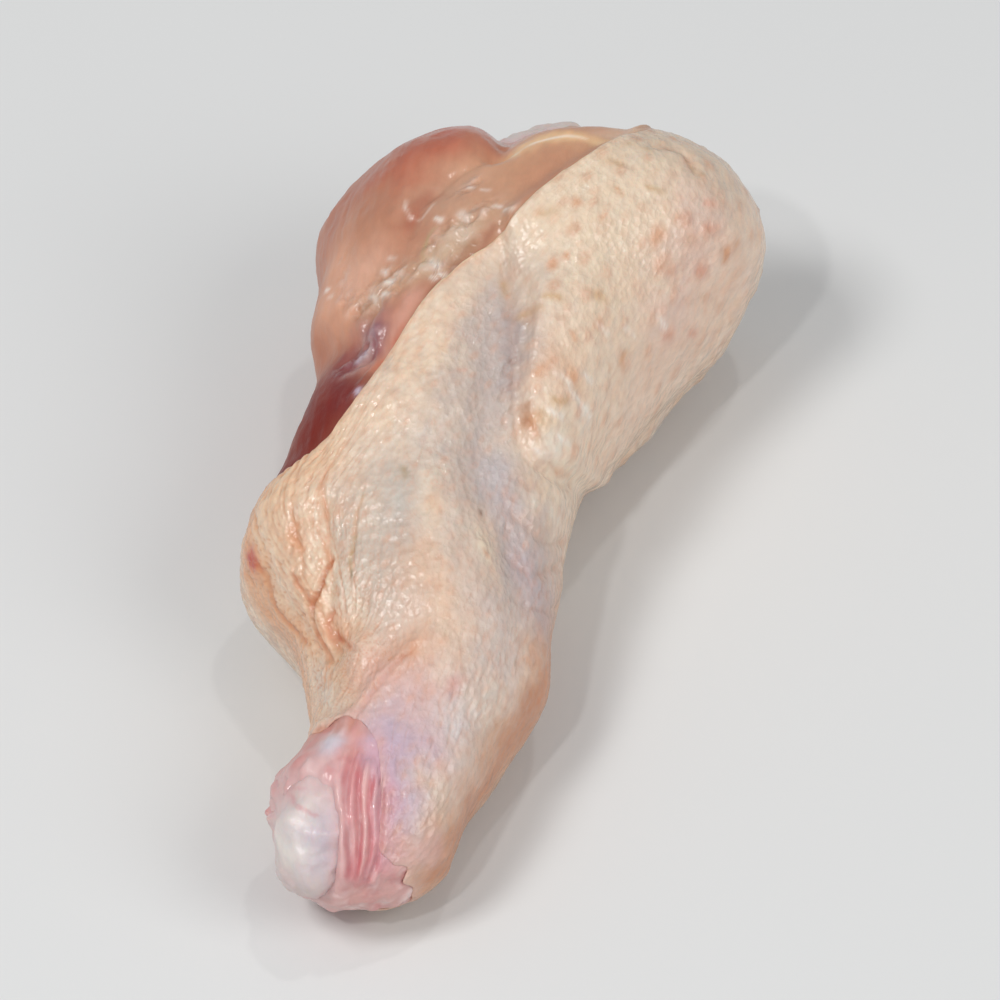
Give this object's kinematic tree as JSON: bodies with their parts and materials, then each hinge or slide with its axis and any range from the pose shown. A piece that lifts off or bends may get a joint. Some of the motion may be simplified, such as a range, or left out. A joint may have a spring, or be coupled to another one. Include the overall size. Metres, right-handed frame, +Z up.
{
  "type": "raw chicken drumette",
  "caption": "Raw chicken drumette lying on its flatter side: club of skin folded over bare muscle, with gristle of the bone showing at the knuckle and at the shoulder end.",
  "frame": {"origin": "on the surface the drumette lies on, under the middle of its bounding box", "axes": "+X along the bone from the knuckle to the shoulder end, +Y to the side of the bare muscle, +Z up"},
  "size_m": [0.0949, 0.0443, 0.0315],
  "materials": {
    "skin": "raw chicken skin, cream with pink follicles and blue-grey thin patches, moist satin",
    "meat": "raw muscle under its membrane, pinkish brown, wet gloss",
    "bone": "white to bluish gristle over the bone's ends, moist satin"
  },
  "bodies": {
    "root": {"skin": "skin", "meat": "meat", "bone": "bone"}
  },
  "joints": []
}
